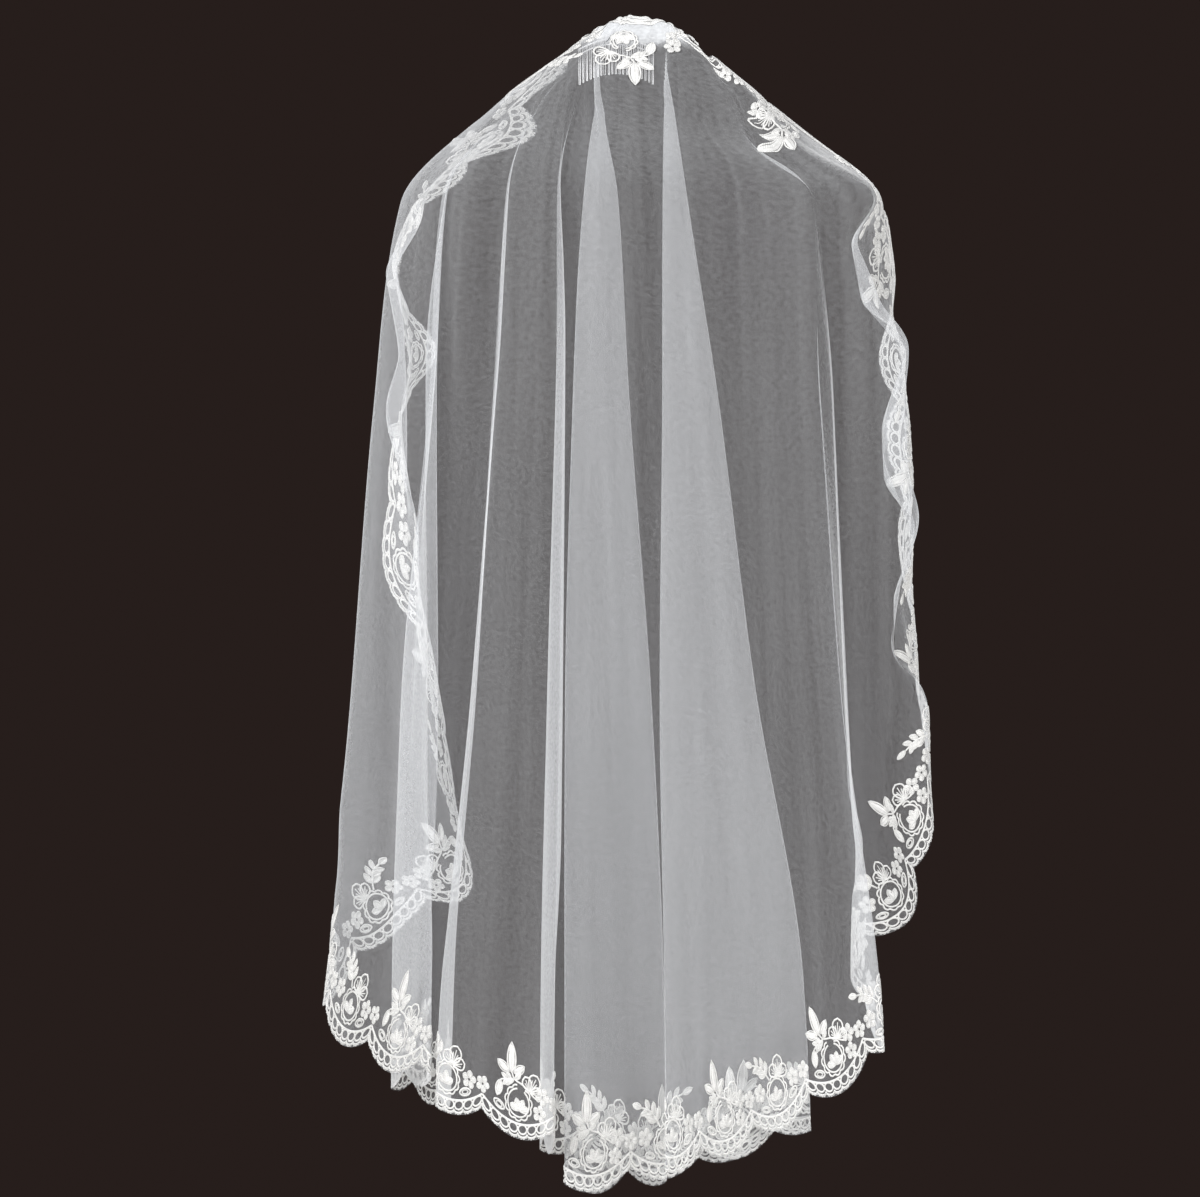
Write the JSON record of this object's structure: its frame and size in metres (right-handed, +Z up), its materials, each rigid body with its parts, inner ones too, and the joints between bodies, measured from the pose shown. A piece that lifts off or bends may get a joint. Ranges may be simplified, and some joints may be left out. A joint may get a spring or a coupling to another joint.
{
  "type": "bridal veil",
  "caption": "Short oval bridal veil of sheer net with a scalloped corded lace edging all round, gathered on a hair comb and hanging in open folds.",
  "frame": {"origin": "middle of the hair comb, at the top of the veil's back", "axes": "+Z up, +Y the way the wearer faces, +X to the wearer's right; the back of the veil is towards -Y"},
  "size_m": [0.5338, 0.2818, 1.0259],
  "materials": {
    "tulle": "fine sheer net, soft and matt",
    "lace": "corded embroidery on net, with a scalloped edge",
    "comb_metal": "thin bright wire comb"
  },
  "bodies": {
    "root": {"tulle": "tulle", "edging_left": "lace", "edging_hem": "lace", "edging_right": "lace", "edging_crown": "lace", "comb": "comb_metal"}
  },
  "joints": []
}
